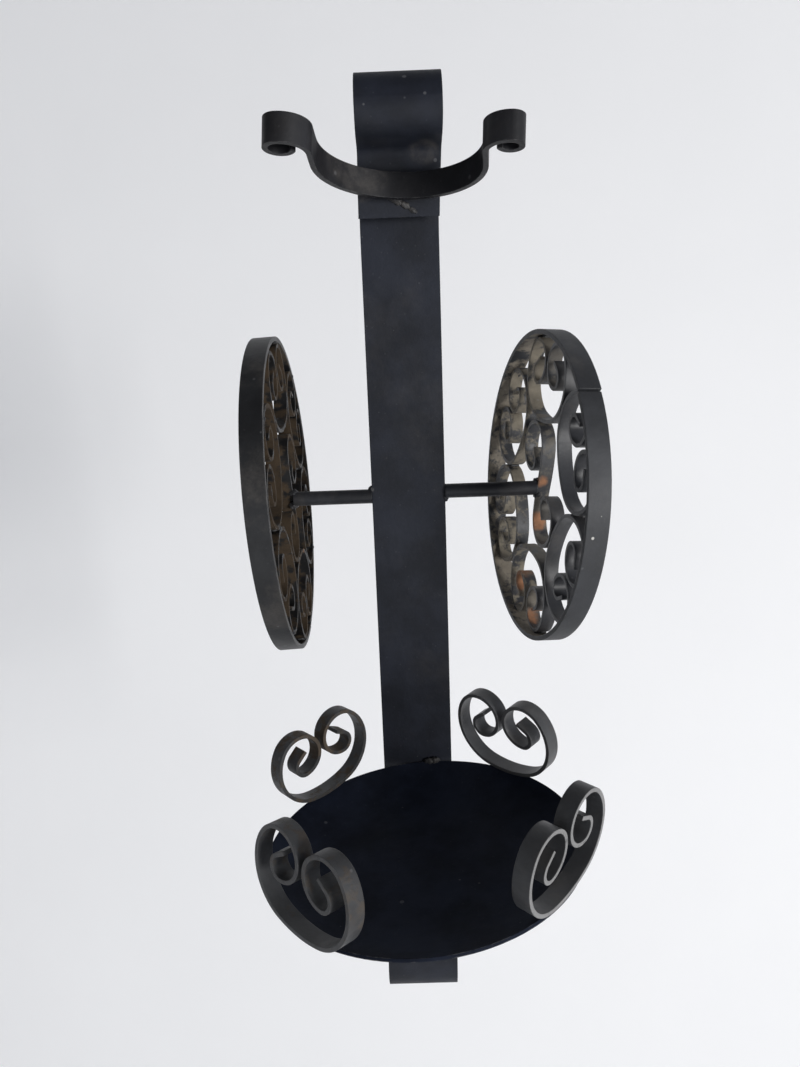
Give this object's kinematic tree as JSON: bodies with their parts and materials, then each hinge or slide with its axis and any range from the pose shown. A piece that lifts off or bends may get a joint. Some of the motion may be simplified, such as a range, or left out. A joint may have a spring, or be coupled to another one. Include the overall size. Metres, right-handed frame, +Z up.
{
  "type": "wall sconce candle holder",
  "caption": "Black wrought-iron wall sconce: a flat back bar rolled at both ends, a round scrollwork grille on a rod each side, a bow above, and a candle dish ringed by scrolls.",
  "frame": {"origin": "on the back face of the back bar, on its centre line, level with the two side rods", "axes": "+X to the right as seen from the room, +Y into the wall, +Z up along the back bar"},
  "size_m": [0.1758, 0.2541, 0.5183],
  "materials": {
    "bar_iron": "satin black paint, dust specks and light scuffs",
    "bow_iron": "satin black paint, worn brown-grey along its lower edge",
    "ring_iron": "satin black paint with small light chips",
    "grille_iron": "black paint worn through to brown rust",
    "dish_iron": "matte black paint, grey wear on the front edge",
    "rim_scroll_iron": "satin black paint, grey worn edges",
    "rod_iron": "satin black paint"
  },
  "bodies": {
    "root": {"back_bar": "bar_iron", "bow": "bow_iron", "c_scroll_left_1": "grille_iron", "c_scroll_left_2": "grille_iron", "c_scroll_left_3": "grille_iron", "c_scroll_left_4": "grille_iron", "c_scroll_left_5": "grille_iron", "c_scroll_left_6": "grille_iron", "c_scroll_right_1": "grille_iron", "c_scroll_right_2": "grille_iron", "c_scroll_right_3": "grille_iron", "c_scroll_right_4": "grille_iron", "c_scroll_right_5": "grille_iron", "c_scroll_right_6": "grille_iron", "candle_dish": "dish_iron", "rim_scroll_front_left": "rim_scroll_iron", "rim_scroll_front_right": "rim_scroll_iron", "rim_scroll_rear_left": "rim_scroll_iron", "rim_scroll_rear_right": "rim_scroll_iron", "ring_left": "ring_iron", "ring_right": "ring_iron", "rod_left": "rod_iron", "rod_right": "rod_iron", "s_scroll_left": "grille_iron", "s_scroll_right": "grille_iron"}
  },
  "joints": []
}
